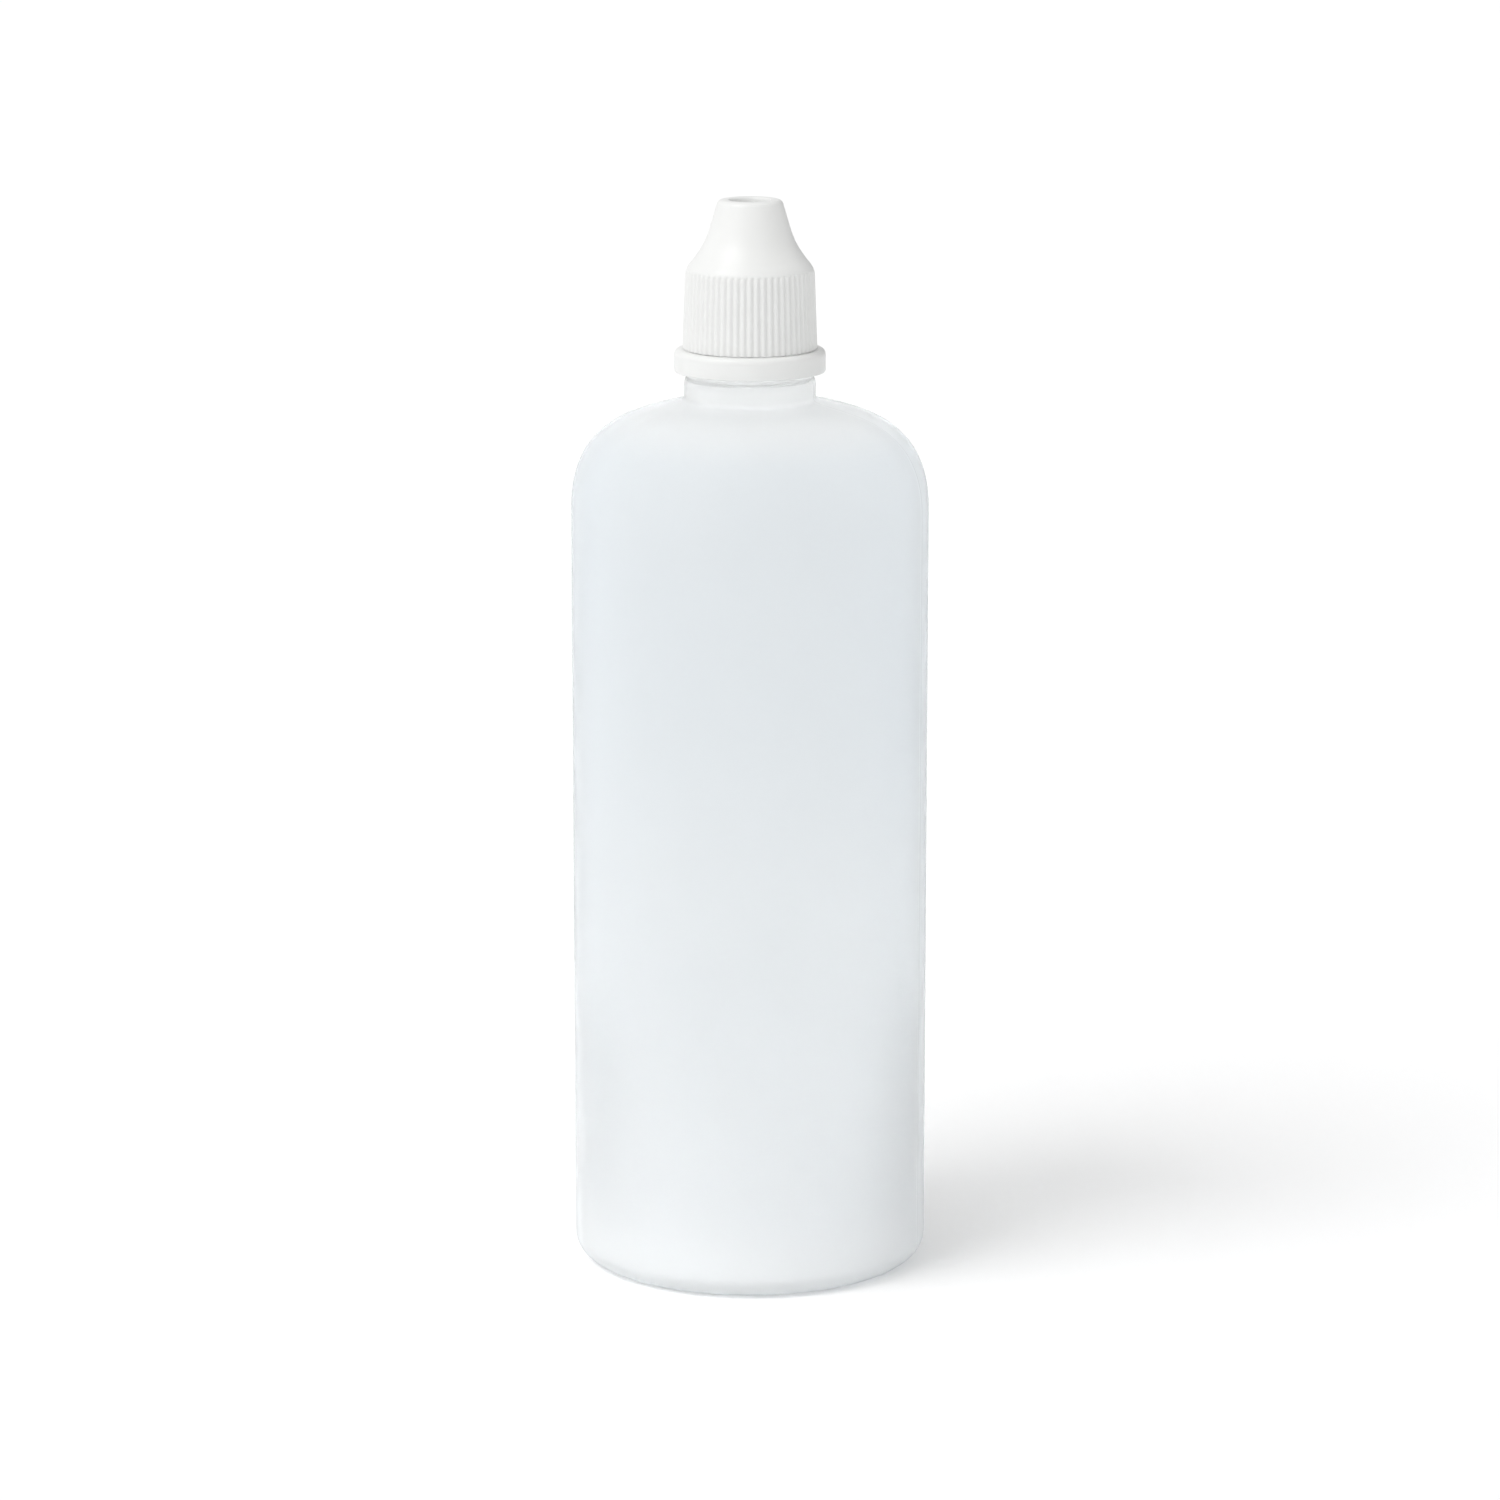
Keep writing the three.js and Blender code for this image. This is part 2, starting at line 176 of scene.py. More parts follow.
# noise that reads Object coordinates through a Mapping node, stretched by scale in x, y, z
def noiseAt(tree, scale, detail, stretch=(1, 1, 1), seed=(0, 0, 0)):
    coordinates = addNode(tree, "ShaderNodeTexCoord")
    mapping = addNode(tree, "ShaderNodeMapping")
    mapping.inputs["Location"].default_value = seed
    mapping.inputs["Scale"].default_value = stretch
    noise = addNode(tree, "ShaderNodeTexNoise")
    noise.inputs["Scale"].default_value = scale
    noise.inputs["Detail"].default_value = detail
    tree.links.new(coordinates.outputs["Object"], mapping.inputs["Vector"])
    tree.links.new(mapping.outputs["Vector"], noise.inputs["Vector"])
    return noise.outputs["Fac"]


# the object's own height over the floor, in metres
def heightAt(tree):
    coordinates = addNode(tree, "ShaderNodeTexCoord")
    split = addNode(tree, "ShaderNodeSeparateXYZ")
    tree.links.new(coordinates.outputs["Object"], split.inputs["Vector"])
    return split.outputs["Z"]


# carries a value from the range fromLow..fromHigh into low..high, smoothly if soft
def ranged(tree, value, low, high, fromLow=0.3, fromHigh=0.7, soft=False):
    kind = "SMOOTHSTEP" if soft else "LINEAR"
    node = addNode(tree, "ShaderNodeMapRange", interpolation_type=kind)
    node.inputs["From Min"].default_value = fromLow
    node.inputs["From Max"].default_value = fromHigh
    node.inputs["To Min"].default_value = low
    node.inputs["To Max"].default_value = high
    tree.links.new(value, node.inputs["Value"])
    return node.outputs["Result"]


# mixes two colours, each plain or from a node, by a 0 to 1 value
def tinted(tree, value, first, second):
    node = addNode(tree, "ShaderNodeMix", data_type="RGBA")
    for socket, colour in ((node.inputs[6], first), (node.inputs[7], second)):
        if isinstance(colour, tuple):
            socket.default_value = (*colour, 1)
        else:
            tree.links.new(colour, socket)
    tree.links.new(value, node.inputs[0])
    return node.outputs[2]


# mixes two plain numbers, or a node's value and a number, by a 0 to 1 value
def blended(tree, value, first, second):
    node = addNode(tree, "ShaderNodeMix", data_type="FLOAT")
    if isinstance(first, float):
        node.inputs[2].default_value = first
    else:
        tree.links.new(first, node.inputs[2])
    node.inputs[3].default_value = second
    tree.links.new(value, node.inputs[0])
    return node.outputs[0]


def bumped(tree, shader, heights):
    normal = None
    for value, strength, distance in heights:
        bump = addNode(tree, "ShaderNodeBump")
        bump.inputs["Strength"].default_value = strength
        bump.inputs["Distance"].default_value = distance
        tree.links.new(value, bump.inputs["Height"])
        if normal is not None:
            tree.links.new(normal, bump.inputs["Normal"])
        normal = bump.outputs["Normal"]
    tree.links.new(normal, shader.inputs["Normal"])


flaskLook = {
    "clear": (0.936, 0.951, 0.96),
    "cloudy": (0.912, 0.931, 0.944),
    "low": (0.946, 0.959, 0.966),
    "foot": (0.972, 0.981, 0.986),
    "heel": (0.94, 0.952, 0.958),
    "neck": (0.995, 0.997, 0.995),
    "roughness": (0.86, 0.94),
    "ior": 1.3,
    "wallTransmission": 0.98,
    "footTransmission": 0.68,
    "heelTransmission": 0.45,
    "neckTransmission": 1.0,
    "lowEnd": (0.03, 0.1),  # heights over which the lighter, slightly less blue tint of the lower wall fades out: painted light standing for light thrown up from the floor
    "footEnd": (0.0, 0.055),  # heights between which the denser foot of the wall ends; it is also tinted lighter there, painted light that lifts the shade seen through the wall near the floor
    "heelEnd": (0.003, 0.014),  # heights between which the thick heel thins out
    "neckStart": (0.1305, 0.137),  # heights between which the wall thickens to the neck and turns near white, painted light that lifts the shade the ring casts on the neck
}


# cloudy natural polyethylene: light soaks through the thin wall, less through the thick heel and
# the foot, and fully through the neck, with milky patches and faint flow lines; the lower wall,
# the foot and the neck are tinted lighter, painted light that lifts the shade near the floor and
# under the ring
def makeFlaskPlastic():
    look = flaskLook
    material, tree, shader = newMaterial("cloudyPolyethylene")
    height = heightAt(tree)
    foot = ranged(tree, height, 1, 0, *look["footEnd"], soft=True)
    heel = ranged(tree, height, 1, 0, *look["heelEnd"], soft=True)
    neck = ranged(tree, height, 0, 1, *look["neckStart"], soft=True)
    milk = noiseAt(tree, 22, 2, stretch=(1, 1, 0.5), seed=(0.3, 0.1, 0.7))
    colour = tinted(tree, ranged(tree, milk, 0, 1), look["clear"], look["cloudy"])
    # painted light: the wall is tinted lighter towards the bottom, standing for light thrown up
    # from the floor
    low = ranged(tree, height, 1, 0, *look["lowEnd"], soft=True)
    colour = tinted(tree, low, colour, look["low"])
    # painted light: the foot of the wall is tinted lighter to lift the shade seen through it near
    # the floor
    colour = tinted(tree, foot, colour, look["foot"])
    colour = tinted(tree, heel, colour, look["heel"])
    # painted light: the neck is tinted near white to lift the shade that the ring casts on it
    colour = tinted(tree, neck, colour, look["neck"])
    tree.links.new(colour, shader.inputs["Base Color"])
    clear = blended(tree, foot, look["wallTransmission"], look["footTransmission"])
    clear = blended(tree, heel, clear, look["heelTransmission"])
    clear = blended(tree, neck, clear, look["neckTransmission"])
    tree.links.new(clear, shader.inputs["Transmission Weight"])
    haze = noiseAt(tree, 90, 2, stretch=(1, 1, 0.35), seed=(0.9, 0.4, 0.2))
    tree.links.new(ranged(tree, haze, *look["roughness"]), shader.inputs["Roughness"])
    shader.inputs["IOR"].default_value = look["ior"]
    wave = noiseAt(tree, 40, 1, stretch=(1, 1, 0.3))
    grain = noiseAt(tree, 2200, 2)
    bumped(tree, shader, [(wave, 0.25, 0.0004), (grain, 0.12, 0.00005)])
    return material


capLook = {
    "white": (0.77, 0.775, 0.765),
    "shade": (0.755, 0.76, 0.75),
    "roughness": (0.34, 0.42),
    "gloss": 0.36,
}


# opaque white polypropylene, semi-gloss from a polished mould
def makeCapPlastic():
    material, tree, shader = newMaterial("whitePolypropylene")
    patch = noiseAt(tree, 160, 2)
    tree.links.new(
        tinted(tree, ranged(tree, patch, 0, 1), capLook["white"], capLook["shade"]),
        shader.inputs["Base Color"],
    )
    rub = noiseAt(tree, 420, 3, seed=(0.2, 0.5, 0.1))
    tree.links.new(ranged(tree, rub, *capLook["roughness"]), shader.inputs["Roughness"])
    shader.inputs["IOR"].default_value = 1.49
    shader.inputs["Specular IOR Level"].default_value = capLook["gloss"]
    grain = noiseAt(tree, 3000, 2)
    wave = noiseAt(tree, 300, 1)
    bumped(tree, shader, [(wave, 0.1, 0.0001), (grain, 0.1, 0.00003)])
    return material


nozzleLook = {
    "clear": (0.965, 0.975, 0.98),
    "cloudy": (0.95, 0.96, 0.97),
    "roughness": (0.3, 0.4),
    "transmission": 0.5,
}


# the insert's natural polyethylene, a little denser and smoother than the flask's
def makeNozzlePlastic():
    material, tree, shader = newMaterial("naturalPolyethylene")
    milk = noiseAt(tree, 200, 2)
    tree.links.new(
        tinted(tree, ranged(tree, milk, 0, 1), nozzleLook["clear"], nozzleLook["cloudy"]),
        shader.inputs["Base Color"],
    )
    haze = noiseAt(tree, 500, 2)
    tree.links.new(ranged(tree, haze, *nozzleLook["roughness"]), shader.inputs["Roughness"])
    shader.inputs["Transmission Weight"].default_value = nozzleLook["transmission"]
    shader.inputs["IOR"].default_value = 1.3
    grain = noiseAt(tree, 3000, 2)
    bumped(tree, shader, [(grain, 0.1, 0.00003)])
    return material


flaskPlastic = makeFlaskPlastic()
nozzlePlastic = makeNozzlePlastic()
capPlastic = makeCapPlastic()
print("materials made")


# the same thread runs on the neck and in the cap
thread = {
    "lead": 3.2 * mm,
    "depth": 0.8 * mm,
    "rootHalf": 0.8 * mm,
    "crestHalf": 0.3 * mm,
    "fade": 0.06,  # turns
    "gap": 0.2 * mm,
}


flask = {
    "wall": 1.3 * mm,
    "floor": 1.5 * mm,
    "wallTop": 121.2 * mm,
    "heel": 3.3 * mm,
    "standWidth": 3.2 * mm,
    "pushUp": 2.4 * mm,
    "neckBase": 138.3 * mm,
    "cornerPull": 14.7 * mm,
    "roofPull": 6.3 * mm,
    "roofSlope": 19,
    "neckSweep": 0.9 * mm,  # the shoulder's curve stops this far short of the collar
    "neckSweepDrop": 0.31 * mm,
    "roofThickness": 0.8 * mm,
    "collar": 10.27 * mm,
    "collarTop": 141.5 * mm,
    "neck": 9.97 * mm,
    "neckWall": 1.7 * mm,
    "bead": 10.52 * mm,
    "beadBottom": 143.65 * mm,
    "beadTop": 144.25 * mm,
    "finishFoot": 146.3 * mm,
    "bore": 6.5 * mm,
    "root": 8.2 * mm,
    "threadTurns": 1.75,
    "threadFoot": 148.4 * mm,
    "seamAngle": -18,  # the mould parts here and half a turn round
    "seamHeight": 0.07 * mm,
    "seamWidth": 0.22 * mm,
    "around": 200,
    "neckStep": 0.19 * mm,  # rows over the thread
    "wallRows": 24,
    "innerRows": 14,
}


# outline of the flask, outside from the base's middle up to the lip, then inside back down
def flaskOutline(wide, lip):
    f = flask
    standOuter = wide - f["heel"]
    standInner = standOuter - f["standWidth"]
    slope = np.radians(f["roofSlope"])
    roofRun, roofFall = f["roofPull"] * np.cos(slope), f["roofPull"] * np.sin(slope)
    base = bezier(
        (0, f["pushUp"]),
        (standInner / 2, f["pushUp"]),
        (standInner - f["heel"], 0),
        (standInner, 0),
        26,
    )
    heel = arc((standOuter, f["heel"]), f["heel"], -90, 0, 12)
    shoulder = bezier(
        (wide, f["wallTop"]),
        (wide, f["wallTop"] + f["cornerPull"]),
        (f["collar"] + roofRun, f["neckBase"] - roofFall),
        (f["collar"] + f["neckSweep"], f["neckBase"] - f["neckSweepDrop"]),
        34,
    )
    neckInside = f["collar"] - f["neckWall"]
    roof = f["neckBase"] - f["roofThickness"]
    neck = filleted(
        [
            (f["collar"] + f["neckSweep"], f["neckBase"] - f["neckSweepDrop"], 0),
            (f["collar"], f["neckBase"], 0.6 * mm),
            (f["collar"], f["collarTop"] - 0.3 * mm, 0.8 * mm),
            (f["neck"], f["collarTop"] + 0.2 * mm, 0.3 * mm),
            (f["neck"], f["beadBottom"], 0.15 * mm),
            (f["bead"], f["beadBottom"], 0.12 * mm),
            (f["bead"], f["beadTop"], 0.2 * mm),
            (f["root"], f["finishFoot"], 0.5 * mm),
            (f["root"], lip, 0.35 * mm),
            (f["bore"], lip, 0.25 * mm),
            (f["bore"], f["finishFoot"], 0.6 * mm),
            (neckInside, f["beadTop"] - 0.5 * mm, 0.8 * mm),
            (neckInside, roof, 0.6 * mm),
            (neckInside + roofRun / 2, roof - roofFall / 2, 0),
        ],
        f["neckStep"],
    )
    innerWide = wide - f["wall"]
    innerHeel = f["heel"] - f["wall"]
    innerShoulder = bezier(
        neck[-1],
        neck[-1] + np.array([roofRun, -roofFall]) * 0.7,
        (innerWide, f["wallTop"] + f["cornerPull"] - f["wall"]),
        (innerWide, f["wallTop"]),
        30,
    )
    innerHeelArc = arc((standOuter, f["floor"] + innerHeel), innerHeel, 0, -90, 10)
    innerFloor = base[::-1] + np.array([0, f["floor"]])
    return joined(
        base,
        heel,
        line((wide, f["heel"]), (wide, f["wallTop"]), f["wallRows"]),
        shoulder,
        neck,
        innerShoulder,
        line((innerWide, f["wallTop"]), (innerWide, f["floor"] + innerHeel), f["innerRows"]),
        innerHeelArc,
        innerFloor,
    )


def makeFlask():
    low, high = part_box("bottle")
    f = flask
    outline = flaskOutline(high.x, high.z)
    seams = np.radians([f["seamAngle"], f["seamAngle"] + 180])
    # extra columns beside each seam, in radians
    near = np.linspace(-0.03, 0.03, 11)
    angle = np.concatenate([
        np.linspace(0, 2 * np.pi, f["around"], endpoint=False),
        np.mod(seams[0] + near, 2 * np.pi),
        np.mod(seams[1] + near, 2 * np.pi),
    ])
    angle = np.unique(np.round(angle, 6))
    radius = outline[:, :1] + 0 * angle
    height = outline[:, 1:] + 0 * angle
    # outside rows are those before the lip's inner edge
    outside = (np.arange(len(outline)) < np.argmax(outline[:, 1]))[:, None]
    ridge = threadRidge(height, angle, thread, f["threadFoot"], f["threadTurns"], 0)
    onFinish = outside & (height > f["finishFoot"])
    radius = radius + np.where(onFinish, ridge * thread["depth"], 0)
    # parting seam: a thin raised line, a bell curve of the distance round the wall
    span = np.minimum(
        np.abs(np.angle(np.exp(1j * (angle - seams[0])))),
        np.abs(np.angle(np.exp(1j * (angle - seams[1])))),
    )
    seam = np.exp(-((span * radius / f["seamWidth"]) ** 2)) * f["seamHeight"]
    seam = seam * smoothStep(1 * mm, 4 * mm, height) * smoothStep(high.z, high.z - 1 * mm, height)
    radius = radius + np.where(outside, seam, 0)
    radius = np.minimum(radius, high.x + f["seamHeight"])
    return gridPiece("flask", turned(radius, height, angle), poleStart=True, poleEnd=True)


finish(makeFlask(), flaskPlastic, "flask", "bottle")


nozzle = {
    "plug": 6.45 * mm,
    "plugWall": 1.1 * mm,
    "flangeBottom": 155.05 * mm,
    "flangeTop": 156.05 * mm,
    "spoutBase": 5.4 * mm,
    "spoutTip": 1.9 * mm,
    "drain": 0.85 * mm,
    "drainDepth": 0.9 * mm,
    "orifice": 0.5 * mm,
    "orificeLength": 2.4 * mm,
    "around": 128,
}


def makeNozzle():
    low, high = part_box("dropper_nozzle")
    n = nozzle
    bore = n["plug"] - n["plugWall"]
    tip = high.z
    outline = filleted(
        [
            (bore, low.z + 2 * mm, 0),
            (bore, low.z, 0.2 * mm),
            (n["plug"] - 0.5 * mm, low.z, 0.2 * mm),
            (n["plug"], low.z + 1.1 * mm, 0.4 * mm),
            (n["plug"], n["flangeBottom"], 0.12 * mm),
            (high.x, n["flangeBottom"], 0.2 * mm),
            (high.x, n["flangeTop"], 0.3 * mm),
            (n["spoutBase"] - 0.2 * mm, n["flangeTop"], 1.0 * mm),
            (n["spoutTip"] + 0.25 * mm, tip - 1.2 * mm, 0.5 * mm),
            (n["spoutTip"] + 0.05 * mm, tip, 0.4 * mm),
            (n["drain"], tip, 0.15 * mm),
            (n["orifice"], tip - n["drainDepth"], 0.2 * mm),
            (n["orifice"], tip - n["orificeLength"], 0.2 * mm),
            (n["spoutBase"] - 2 * mm, n["flangeTop"], 0.4 * mm),
            (bore, n["flangeBottom"] - 1 * mm, 0.4 * mm),
            (bore, low.z + 2 * mm, 0),
        ],
        0.35 * mm,
    )[:-1]
    angle = np.linspace(0, 2 * np.pi, n["around"], endpoint=False)
    radius, height = outline[:, :1] + 0 * angle, outline[:, 1:] + 0 * angle
    return gridPiece("dropperNozzle", turned(radius, height, angle), closeRows=True)


finish(makeNozzle(), nozzlePlastic, "flask", "dropper_nozzle")


cap = {
    "ribs": 60,
    "ribDepth": 0.27 * mm,
    "grooveWidth": 0.24,  # share of a rib's pitch
    "ribTop": 158.7 * mm,
    "ribTopFade": 0.6 * mm,
    "skirt": 10.1 * mm,
    "skirtTop": 157.7 * mm,
    "skirtFoot": 10.5 * mm,
    "bore": 9.2 * mm,
    "land": 156.35 * mm,
    "shoulder": 8.9 * mm,
    "shoulderTop": 160.1 * mm,
    "rim": 5.15 * mm,
    "rimRound": 0.6 * mm,
    "taperFoot": 6.1 * mm,
    "taperLength": 3.2 * mm,
    "recess": 3.1 * mm,
    "recessDepth": 2.4 * mm,
    "web": 1.2 * mm,
    "coneWall": 1.3 * mm,
    "pin": 0.42 * mm,
    "pinLength": 1.2 * mm,
    "gate": 0.6 * mm,
    "gateHeight": 0.2 * mm,
    "threadFoot": 147.0 * mm,
    "threadTurns": 1.5,
    "threadStart": 0.35,
    "aroundPerRib": 8,
    "threadStep": 0.23 * mm,  # rows over the thread
}


# outline of the cap: up inside from the pin, round the skirt's foot, up the outside
# over the shoulder and the taper to the rim, and down into the recess
def capOutline(foot, top):
    c = cap
    recessFloor = top - c["recessDepth"]
    webBottom = recessFloor - c["web"]
    taperTop = top - c["rimRound"]
    taperFoot = taperTop - c["taperLength"]
    slope = (c["taperFoot"] - c["rim"]) / c["taperLength"]
    flare = taperFoot - c["shoulderTop"]
    footMiddle = c["bore"] + 0.7 * mm
    cavity = filleted(
        [
            (0, webBottom - c["pinLength"], 0),
            (c["pin"], webBottom - c["pinLength"], 0.15 * mm),
            (c["pin"], webBottom, 0.2 * mm),
            (c["rim"] - c["coneWall"], webBottom, 0.5 * mm),
            (c["taperFoot"] - c["coneWall"], taperFoot - c["coneWall"], 1.0 * mm),
            (c["shoulder"] - c["coneWall"], c["skirtTop"], 0.6 * mm),
            (c["shoulder"] - c["coneWall"], c["land"], 0.15 * mm),
            (c["bore"] - 0.5 * mm, c["land"], 0),
        ],
        0.8 * mm,
    )
    threaded = filleted(
        [
            (c["bore"] - 0.5 * mm, c["land"], 0),
            (c["bore"], c["land"], 0.3 * mm),
            (c["bore"], foot + 0.5 * mm, 0.2 * mm),
            (c["bore"] + 0.45 * mm, foot, 0.15 * mm),
            (footMiddle, foot, 0),
        ],
        c["threadStep"],
    )
    skirt = filleted(
        [
            (footMiddle, foot, 0),
            (c["skirtFoot"], foot, 0.06 * mm),
            (c["skirt"] + (c["skirtFoot"] - c["skirt"]) * 0.5, (foot + c["skirtTop"]) / 2, 4 * mm),
            (c["skirt"], c["skirtTop"], 0),
        ],
        1.2 * mm,
        8,
    )
    drop = c["shoulderTop"] - c["skirtTop"]
    turnIn = c["skirt"] - c["shoulder"]
    shoulder = bezier(
        (c["skirt"], c["skirtTop"]),
        (c["skirt"], c["skirtTop"] + drop * 0.35),
        (c["shoulder"] + turnIn * 0.62, c["shoulderTop"] - drop * 0.35),
        (c["shoulder"], c["shoulderTop"]),
        16,
    )
    sweep = bezier(
        (c["shoulder"], c["shoulderTop"]),
        (c["shoulder"] - flare / 4, c["shoulderTop"] + flare / 3),
        (c["taperFoot"] + slope * flare / 2, taperFoot - flare / 2),
        (c["taperFoot"], taperFoot),
        18,
    )
    crown = filleted(
        [
            (c["taperFoot"], taperFoot, 0),
            (c["rim"] - 0.18 * mm, top, 0.75 * mm),
            (c["recess"], top, 0.5 * mm),
            (c["recess"] - 0.1 * mm, recessFloor, 0.5 * mm),
            (c["gate"], recessFloor, 0.1 * mm),
            (c["gate"] * 0.7, recessFloor + c["gateHeight"], 0.08 * mm),
            (0, recessFloor + c["gateHeight"], 0),
        ],
        0.6 * mm,
        8,
    )
    return joined(cavity, threaded, skirt, shoulder, sweep, crown)


def makeCap():
    low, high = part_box("screw_cap")
    c = cap
    outline = capOutline(low.z, high.z)
    angle = np.linspace(0, 2 * np.pi, c["ribs"] * c["aroundPerRib"], endpoint=False)
    radius = outline[:, :1] + 0 * angle
    height = outline[:, 1:] + 0 * angle
    foot = np.argmin(outline[:, 1])
    outside = (np.arange(len(outline)) > foot)[:, None]
    # grooves between the ribs: a bell curve across each pitch, fading out at the shoulder
    phase = np.mod(c["ribs"] * angle / (2 * np.pi), 1) - 0.5
    groove = np.exp(-((phase / c["grooveWidth"]) ** 2)) - np.exp(-((0.5 / c["grooveWidth"]) ** 2))
    fade = smoothStep(c["ribTop"], c["ribTop"] - c["ribTopFade"], height)
    radius = radius - np.where(outside, groove * fade * c["ribDepth"], 0)
    ridge = threadRidge(
        height, angle, thread, c["threadFoot"], c["threadTurns"], c["threadStart"]
    )
    onBore = ~outside & (height < c["land"] - 0.5 * mm) & (radius > c["bore"] - 0.01 * mm)
    depth = c["bore"] - flask["root"] - thread["gap"]
    radius = radius - np.where(onBore, ridge * depth, 0)
    return gridPiece("screwCap", turned(radius, height, angle), poleStart=True, poleEnd=True)


finish(makeCap(), capPlastic, "cap", "screw_cap")


ring = {
    "bore": 10.82 * mm,
    "flangeBore": 9.82 * mm,
    "flange": 0.8 * mm,
    "topRound": 1.0 * mm,
    "footRound": 0.25 * mm,
    "claws": 8,
    "clawHalfAngle": 9.5,
    "clawReach": 10.22 * mm,
    "clawHeight": 0.65 * mm,
    "bridges": 8,
    "bridgeHalfAngle": 2.2,
    "bridgeRadius": (9.82 * mm, 10.32 * mm),
    "bridgeHeight": 0.06 * mm,
    "bridgeEdge": 0.1 * mm,
    "around": 480,
}


# share of a mask that is 1 within half degrees of each of count evenly spaced angles
def spokes(angle, count, half, offset=0):
    step = 2 * np.pi / count
    away = np.abs(np.mod(angle - offset + step / 2, step) - step / 2)
    return smoothStep(np.radians(half) * 1.25, np.radians(half), away)


def makeRing():
    low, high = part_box("tamper_ring")
    r = ring
    top = high.z - r["bridgeHeight"]
    clawTop = low.z + r["clawHeight"]
    outline = filleted(
        [
            (r["bore"], clawTop + 0.5 * mm, 0),
            (r["bore"], clawTop, 0),
            (r["bore"], clawTop - r["clawHeight"] / 3, 0),
            (r["bore"], low.z, 0.1 * mm),
            (high.x, low.z, r["footRound"]),
            (high.x, top, r["topRound"]),
            (r["flangeBore"], top, 0.15 * mm),
            (r["flangeBore"], top - r["flange"], 0.1 * mm),
            (r["bore"], top - r["flange"], 0.15 * mm),
            (r["bore"], clawTop + 0.5 * mm, 0),
        ],
        0.12 * mm,
        8,
    )[:-1]
    angle = np.linspace(0, 2 * np.pi, r["around"], endpoint=False)
    radius = outline[:, :1] + 0 * angle
    height = outline[:, 1:] + 0 * angle
    # claws: the bore's foot comes in under the bead, in a wedge, at evenly spaced places
    rise = smoothStep(low.z + 0.1 * mm, clawTop - r["clawHeight"] / 3, height)
    wedge = rise * smoothStep(clawTop + 0.12 * mm, clawTop, height)
    onBore = np.abs(radius - r["bore"]) < 0.02 * mm
    reach = (r["bore"] - r["clawReach"]) * wedge * spokes(angle, r["claws"], r["clawHalfAngle"])
    radius = radius - np.where(onBore, reach, 0)
    # stubs of the broken bridges: the flange's top rises a little under the skirt's wall
    inner, outer = r["bridgeRadius"]
    across = smoothStep(inner - r["bridgeEdge"], inner, radius)
    across = across * smoothStep(outer + r["bridgeEdge"] * 1.5, outer, radius)
    stub = spokes(angle, r["bridges"], r["bridgeHalfAngle"], np.pi / r["bridges"])
    height = height + np.where(height > top - 0.02 * mm, across * stub * r["bridgeHeight"], 0)
    return gridPiece("tamperRing", turned(radius, height, angle), closeRows=True)


finish(makeRing(), capPlastic, "ring", "tamper_ring")


studio = {
    "floorSize": 14,
    "floorTop": -0.02 * mm,
    "floorColour": (0.95, 0.95, 0.95),
    "skyBase": 0.81,
    "skyRight": -0.09,  # change of strength towards +X, +Y and +Z
    "skyBack": -0.05,
    "skyUp": -0.04,
    "dimToward": (0.5, 0.83, 0.25),  # an unlit part of the room, far right
    "dimEdge": (0.9, 0.95),
    "dimDepth": -0.5,
    "keyFrom": (-0.82, -0.57),
    "keyHeight": 52,
    "keySpread": 34,
    "keyPower": 1.27,
}


def makeFloor():
    half, top = studio["floorSize"] / 2, studio["floorTop"]
    corners = [(-half, -half, top), (half, -half, top), (half, half, top), (-half, half, top)]
    mesh = bpy.data.meshes.new("floor")
    mesh.from_pydata(corners, [], [(0, 1, 2, 3)])
    floor = bpy.data.objects.new("floor", mesh)
    bpy.context.scene.collection.objects.link(floor)
    material, tree, shader = newMaterial("paleFloor")
    shader.inputs["Base Color"].default_value = (*studio["floorColour"], 1)
    shader.inputs["Roughness"].default_value = 0.9
    shader.inputs["Specular IOR Level"].default_value = 0.0
    mesh.materials.append(material)
    return floor


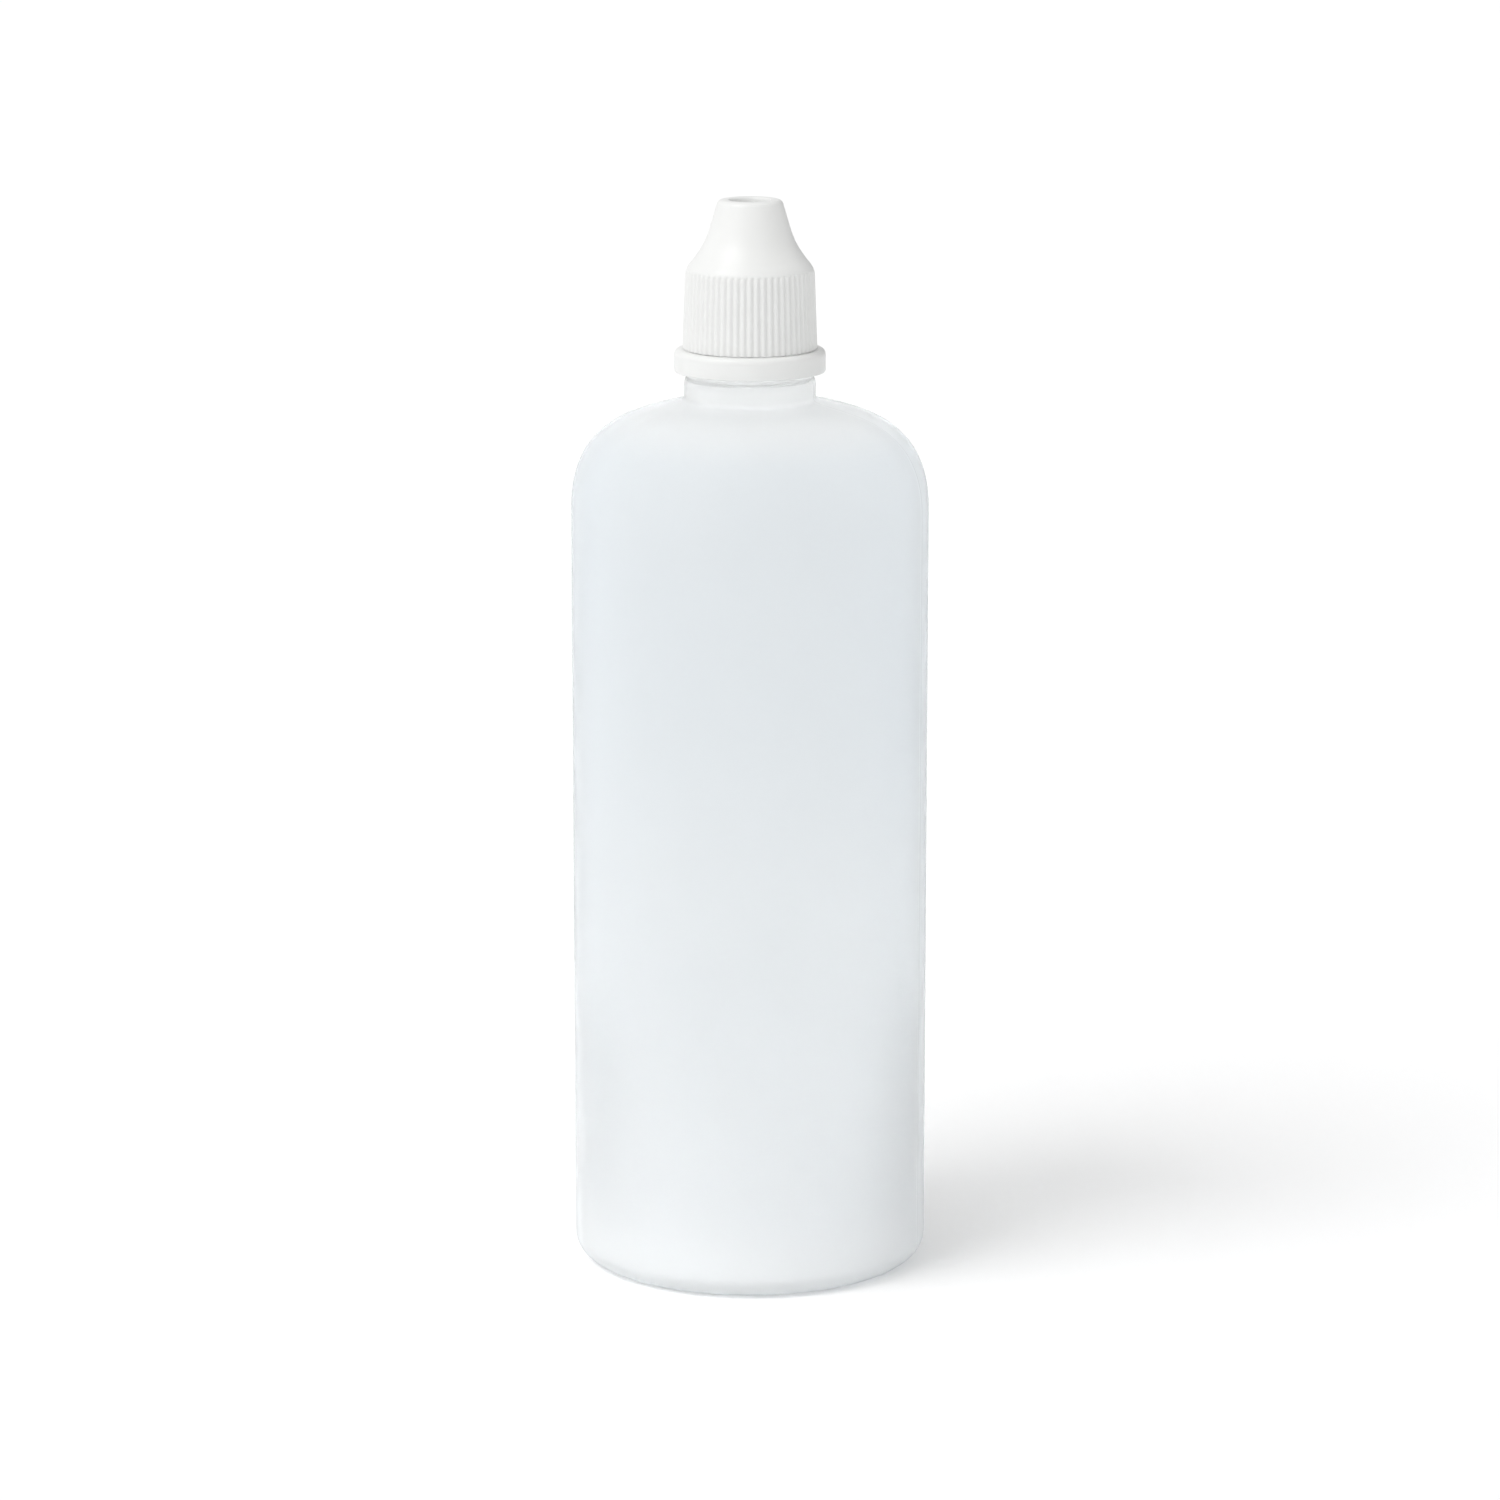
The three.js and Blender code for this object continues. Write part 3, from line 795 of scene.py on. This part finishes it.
# even studio walls: the strength is a base plus a share of the direction's x, y and z
def makeWorld():
    world = bpy.data.worlds.new("studio")
    bpy.context.scene.world = world
    world.use_nodes = True
    tree = world.node_tree
    background = tree.nodes["Background"]
    coordinates = addNode(tree, "ShaderNodeTexCoord")
    dot = addNode(tree, "ShaderNodeVectorMath", operation="DOT_PRODUCT")
    dot.inputs[1].default_value = (studio["skyRight"], studio["skyBack"], studio["skyUp"])
    tree.links.new(coordinates.outputs["Generated"], dot.inputs[0])
    add = addNode(tree, "ShaderNodeMath", operation="ADD")
    add.inputs[1].default_value = studio["skyBase"]
    tree.links.new(dot.outputs["Value"], add.inputs[0])
    toward = addNode(tree, "ShaderNodeVectorMath", operation="DOT_PRODUCT")
    toward.inputs[1].default_value = studio["dimToward"]
    tree.links.new(coordinates.outputs["Generated"], toward.inputs[0])
    facing = toward.outputs["Value"]
    dim = ranged(tree, facing, 0, studio["dimDepth"], *studio["dimEdge"], soft=True)
    total = addNode(tree, "ShaderNodeMath", operation="ADD")
    tree.links.new(add.outputs["Value"], total.inputs[0])
    tree.links.new(dim, total.inputs[1])
    tree.links.new(total.outputs["Value"], background.inputs["Strength"])
    background.inputs["Color"].default_value = (1, 1, 1, 1)


def makeKey():
    lamp = bpy.data.lights.new("key", "SUN")
    lamp.angle = np.radians(studio["keySpread"])
    lamp.energy = studio["keyPower"]
    key = bpy.data.objects.new("key", lamp)
    bpy.context.scene.collection.objects.link(key)
    x, y = studio["keyFrom"]
    rise = np.tan(np.radians(studio["keyHeight"])) * np.hypot(x, y)
    key.location = (x, y, rise)
    key.rotation_euler = (-key.location).to_track_quat("-Z", "Y").to_euler()


view = {"distance": 0.859, "height": 0.272, "aimHeight": 0.0821, "lens": 133.4, "sensor": 36}


def makeCamera():
    lens = bpy.data.cameras.new("camera")
    lens.lens = view["lens"]
    lens.sensor_width = view["sensor"]
    lens.clip_start = 0.01
    lens.clip_end = 50
    camera = bpy.data.objects.new("camera", lens)
    bpy.context.scene.collection.objects.link(camera)
    camera.location = (0, -view["distance"], view["height"])
    aim = Vector((0, 0, view["aimHeight"])) - camera.location
    camera.rotation_euler = aim.to_track_quat("-Z", "Y").to_euler()
    bpy.context.scene.camera = camera


makeFloor()
makeWorld()
makeKey()
makeCamera()
bpy.context.scene.view_settings.view_transform = "Standard"
# enough bounces for light to find its way round inside the cloudy plastic
bpy.context.scene.cycles.diffuse_bounces = 10
bpy.context.scene.cycles.transmission_bounces = 24
bpy.context.scene.cycles.max_bounces = 24
print("studio made")
